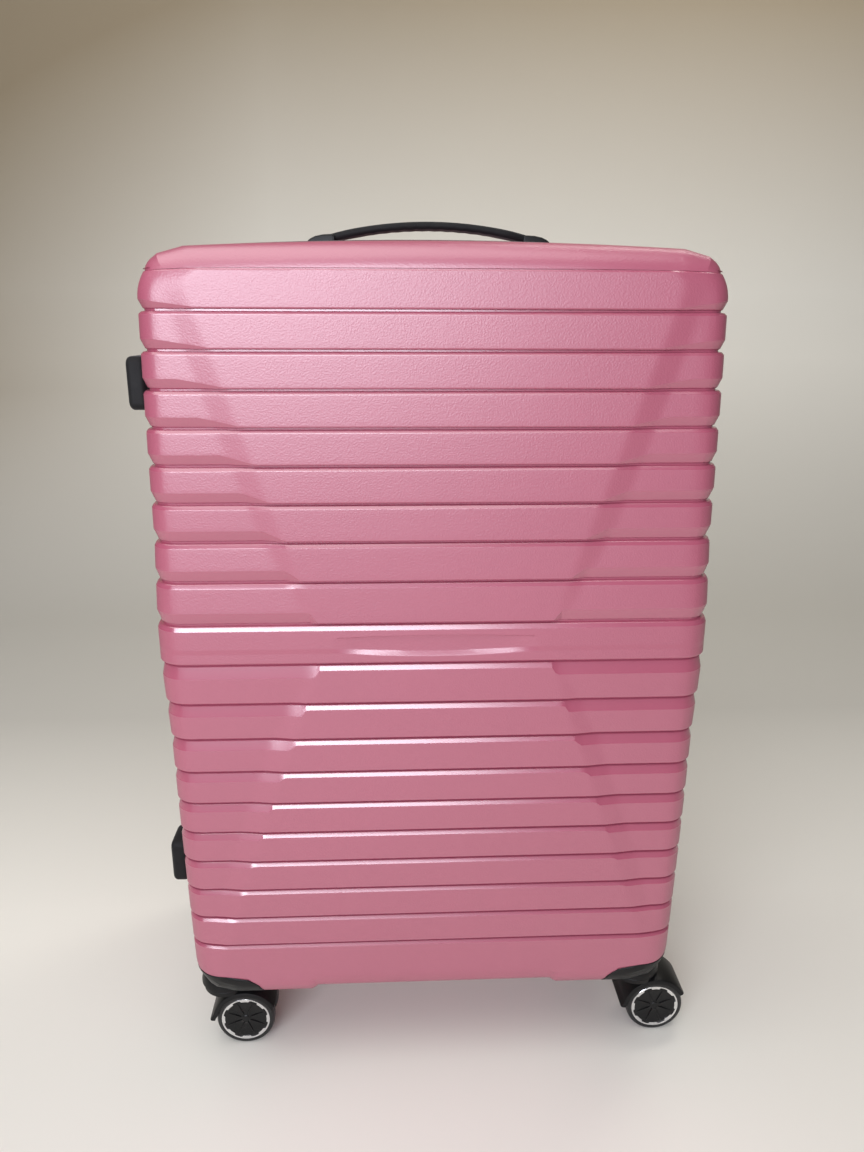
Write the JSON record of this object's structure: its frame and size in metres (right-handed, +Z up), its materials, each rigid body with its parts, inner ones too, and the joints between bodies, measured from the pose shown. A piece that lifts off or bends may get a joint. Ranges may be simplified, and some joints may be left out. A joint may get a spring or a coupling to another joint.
{
  "type": "hard shell suitcase on wheels",
  "caption": "Upright two-half hard shell suitcase with horizontal moulded ribs, zip seam, carry handles, telescopic handle, combination lock and swivelling twin-wheel casters.",
  "frame": {"origin": "on the floor, under the middle of the overall box", "axes": "+Z up; +X towards the lock and side handle, -X towards the hinge and side feet; -Y is the front shell, +Y the back shell with the telescopic handle"},
  "size_m": [0.5095, 0.3, 0.7975],
  "materials": {
    "pink_shell": "moulded polypropylene, fine leather grain with smooth bevels",
    "black_plastic": "fine moulded texture, satin",
    "zip_tape": "woven polyester tape",
    "black_rubber": "soft-touch moulded grip",
    "lining_cloth": "thin woven polyester",
    "webbing": "ribbed polyester webbing",
    "tube_aluminium": "satin anodised",
    "bright_steel": "bright plated",
    "wheel_tyre": "moulded polyurethane on a grey and black hub"
  },
  "bodies": {
    "rear_half": {"rear_shell": "pink_shell", "rear_zip_tape": "zip_tape", "hinge_strip": "zip_tape", "rear_lining": "lining_cloth", "corner_housing_rear_left": "black_plastic", "corner_housing_rear_right": "black_plastic", "trolley_bezel": "black_plastic", "outer_tube_left": "tube_aluminium", "outer_tube_right": "tube_aluminium", "top_handle_cap_left": "black_plastic", "top_handle_cap_right": "black_plastic", "side_handle_cap_upper": "black_plastic", "side_handle_cap_lower": "black_plastic", "side_foot_rear_upper": "black_rubber", "side_foot_rear_lower": "black_rubber", "lock_body": "black_plastic", "pack_strap_left": "webbing", "pack_strap_right": "webbing", "buckle_socket": "black_plastic", "buckle_tongue": "black_plastic"},
    "front_half": {"front_shell": "pink_shell", "front_zip_tape": "zip_tape", "front_lining": "lining_cloth", "corner_housing_front_left": "black_plastic", "corner_housing_front_right": "black_plastic", "side_foot_front_upper": "black_rubber", "side_foot_front_lower": "black_rubber"},
    "caster_front_left": {"caster_yoke_front_left": "black_plastic", "caster_axle_front_left": "bright_steel"},
    "wheel_front_left_outer": {"wheel_front_left_outer": "wheel_tyre"},
    "wheel_front_left_inner": {"wheel_front_left_inner": "wheel_tyre"},
    "caster_front_right": {"caster_yoke_front_right": "black_plastic", "caster_axle_front_right": "bright_steel"},
    "wheel_front_right_outer": {"wheel_front_right_outer": "wheel_tyre"},
    "wheel_front_right_inner": {"wheel_front_right_inner": "wheel_tyre"},
    "caster_rear_left": {"caster_yoke_rear_left": "black_plastic", "caster_axle_rear_left": "bright_steel"},
    "wheel_rear_left_outer": {"wheel_rear_left_outer": "wheel_tyre"},
    "wheel_rear_left_inner": {"wheel_rear_left_inner": "wheel_tyre"},
    "caster_rear_right": {"caster_yoke_rear_right": "black_plastic", "caster_axle_rear_right": "bright_steel"},
    "wheel_rear_right_outer": {"wheel_rear_right_outer": "wheel_tyre"},
    "wheel_rear_right_inner": {"wheel_rear_right_inner": "wheel_tyre"},
    "trolley_mid": {"mid_tube_left": "tube_aluminium", "mid_tube_right": "tube_aluminium"},
    "trolley_top": {"inner_tube_left": "tube_aluminium", "inner_tube_right": "tube_aluminium", "trolley_grip": "black_plastic"},
    "trolley_button": {"trolley_button": "black_plastic"},
    "top_handle": {"top_handle_grip": "black_rubber"},
    "side_handle": {"side_handle_grip": "black_rubber"},
    "lock_dial_1": {"lock_dial_1": "black_plastic"},
    "lock_dial_2": {"lock_dial_2": "black_plastic"},
    "lock_dial_3": {"lock_dial_3": "black_plastic"},
    "lock_release": {"lock_release": "black_plastic"},
    "key_cylinder": {"key_cylinder": "bright_steel"},
    "zip_slider_upper": {"zip_slider_upper": "bright_steel"},
    "zip_pull_upper": {"zip_pull_upper": "black_plastic"},
    "zip_slider_lower": {"zip_slider_lower": "bright_steel"},
    "zip_pull_lower": {"zip_pull_lower": "black_plastic"}
  },
  "joints": [
    {"name": "case_opening", "type": "hinge", "parent": "rear_half", "child": "front_half", "pos_m": [-0.259, 0, 0.423], "axis": [0, 0, -1], "range_deg": [0, 179]},
    {"name": "caster_front_left_swivel", "type": "hinge", "parent": "front_half", "child": "caster_front_left", "pos_m": [-0.21, -0.1, 0.065], "axis": [0, 0, 1], "continuous": true},
    {"name": "wheel_front_left_outer_spin", "type": "hinge", "parent": "caster_front_left", "child": "wheel_front_left_outer", "pos_m": [-0.1905, -0.113, 0.029], "axis": [0, 1, 0], "continuous": true},
    {"name": "wheel_front_left_inner_spin", "type": "hinge", "parent": "caster_front_left", "child": "wheel_front_left_inner", "pos_m": [-0.1905, -0.087, 0.029], "axis": [0, 1, 0], "continuous": true},
    {"name": "caster_front_right_swivel", "type": "hinge", "parent": "front_half", "child": "caster_front_right", "pos_m": [0.21, -0.1, 0.065], "axis": [0, 0, 1], "continuous": true},
    {"name": "wheel_front_right_outer_spin", "type": "hinge", "parent": "caster_front_right", "child": "wheel_front_right_outer", "pos_m": [0.2295, -0.113, 0.029], "axis": [0, 1, 0], "continuous": true},
    {"name": "wheel_front_right_inner_spin", "type": "hinge", "parent": "caster_front_right", "child": "wheel_front_right_inner", "pos_m": [0.2295, -0.087, 0.029], "axis": [0, 1, 0], "continuous": true},
    {"name": "caster_rear_left_swivel", "type": "hinge", "parent": "rear_half", "child": "caster_rear_left", "pos_m": [-0.21, 0.1, 0.065], "axis": [0, 0, 1], "continuous": true},
    {"name": "wheel_rear_left_outer_spin", "type": "hinge", "parent": "caster_rear_left", "child": "wheel_rear_left_outer", "pos_m": [-0.1905, 0.113, 0.029], "axis": [0, 1, 0], "continuous": true},
    {"name": "wheel_rear_left_inner_spin", "type": "hinge", "parent": "caster_rear_left", "child": "wheel_rear_left_inner", "pos_m": [-0.1905, 0.087, 0.029], "axis": [0, 1, 0], "continuous": true},
    {"name": "caster_rear_right_swivel", "type": "hinge", "parent": "rear_half", "child": "caster_rear_right", "pos_m": [0.21, 0.1, 0.065], "axis": [0, 0, 1], "continuous": true},
    {"name": "wheel_rear_right_outer_spin", "type": "hinge", "parent": "caster_rear_right", "child": "wheel_rear_right_outer", "pos_m": [0.2295, 0.113, 0.029], "axis": [0, 1, 0], "continuous": true},
    {"name": "wheel_rear_right_inner_spin", "type": "hinge", "parent": "caster_rear_right", "child": "wheel_rear_right_inner", "pos_m": [0.2295, 0.087, 0.029], "axis": [0, 1, 0], "continuous": true},
    {"name": "trolley_lower_stage", "type": "slide", "parent": "rear_half", "child": "trolley_mid", "axis": [0, 0, 1], "range_m": [0, 0.15]},
    {"name": "trolley_upper_stage", "type": "slide", "parent": "trolley_mid", "child": "trolley_top", "axis": [0, 0, 1], "range_m": [0, 0.15]},
    {"name": "trolley_button_press", "type": "slide", "parent": "trolley_top", "child": "trolley_button", "axis": [0, 0, -1], "range_m": [0, 0.003], "stiffness_N_per_m": 400},
    {"name": "top_handle_lift", "type": "slide", "parent": "rear_half", "child": "top_handle", "axis": [0, 0, 1], "range_m": [0, 0.012], "stiffness_N_per_m": 150},
    {"name": "side_handle_lift", "type": "slide", "parent": "rear_half", "child": "side_handle", "axis": [1, 0, 0], "range_m": [0, 0.012], "stiffness_N_per_m": 150},
    {"name": "lock_dial_1_turn", "type": "hinge", "parent": "rear_half", "child": "lock_dial_1", "pos_m": [0.2428, 0.035, 0.608], "axis": [0, 0, 1], "continuous": true},
    {"name": "lock_dial_2_turn", "type": "hinge", "parent": "rear_half", "child": "lock_dial_2", "pos_m": [0.2428, 0.035, 0.6], "axis": [0, 0, 1], "continuous": true},
    {"name": "lock_dial_3_turn", "type": "hinge", "parent": "rear_half", "child": "lock_dial_3", "pos_m": [0.2428, 0.035, 0.592], "axis": [0, 0, 1], "continuous": true},
    {"name": "lock_release_press", "type": "slide", "parent": "rear_half", "child": "lock_release", "axis": [-1, 0, 0], "range_m": [0, 0.003], "stiffness_N_per_m": 300},
    {"name": "key_turn", "type": "hinge", "parent": "rear_half", "child": "key_cylinder", "pos_m": [0.2435, 0.035, 0.627], "axis": [1, 0, 0], "range_deg": [0, 90]},
    {"name": "zip_slider_upper_run", "type": "slide", "parent": "rear_half", "child": "zip_slider_upper", "axis": [0, 0, 1], "range_m": [0, 0.1]},
    {"name": "zip_pull_upper_swing", "type": "hinge", "parent": "zip_slider_upper", "child": "zip_pull_upper", "pos_m": [0.2513, 0.0042, 0.616], "axis": [0, 0, -1], "range_deg": [0, 175]},
    {"name": "zip_slider_lower_run", "type": "slide", "parent": "rear_half", "child": "zip_slider_lower", "axis": [0, 0, -1], "range_m": [0, 0.44]},
    {"name": "zip_pull_lower_swing", "type": "hinge", "parent": "zip_slider_lower", "child": "zip_pull_lower", "pos_m": [0.2513, 0.0042, 0.584], "axis": [0, 0, -1], "range_deg": [0, 175]}
  ]
}
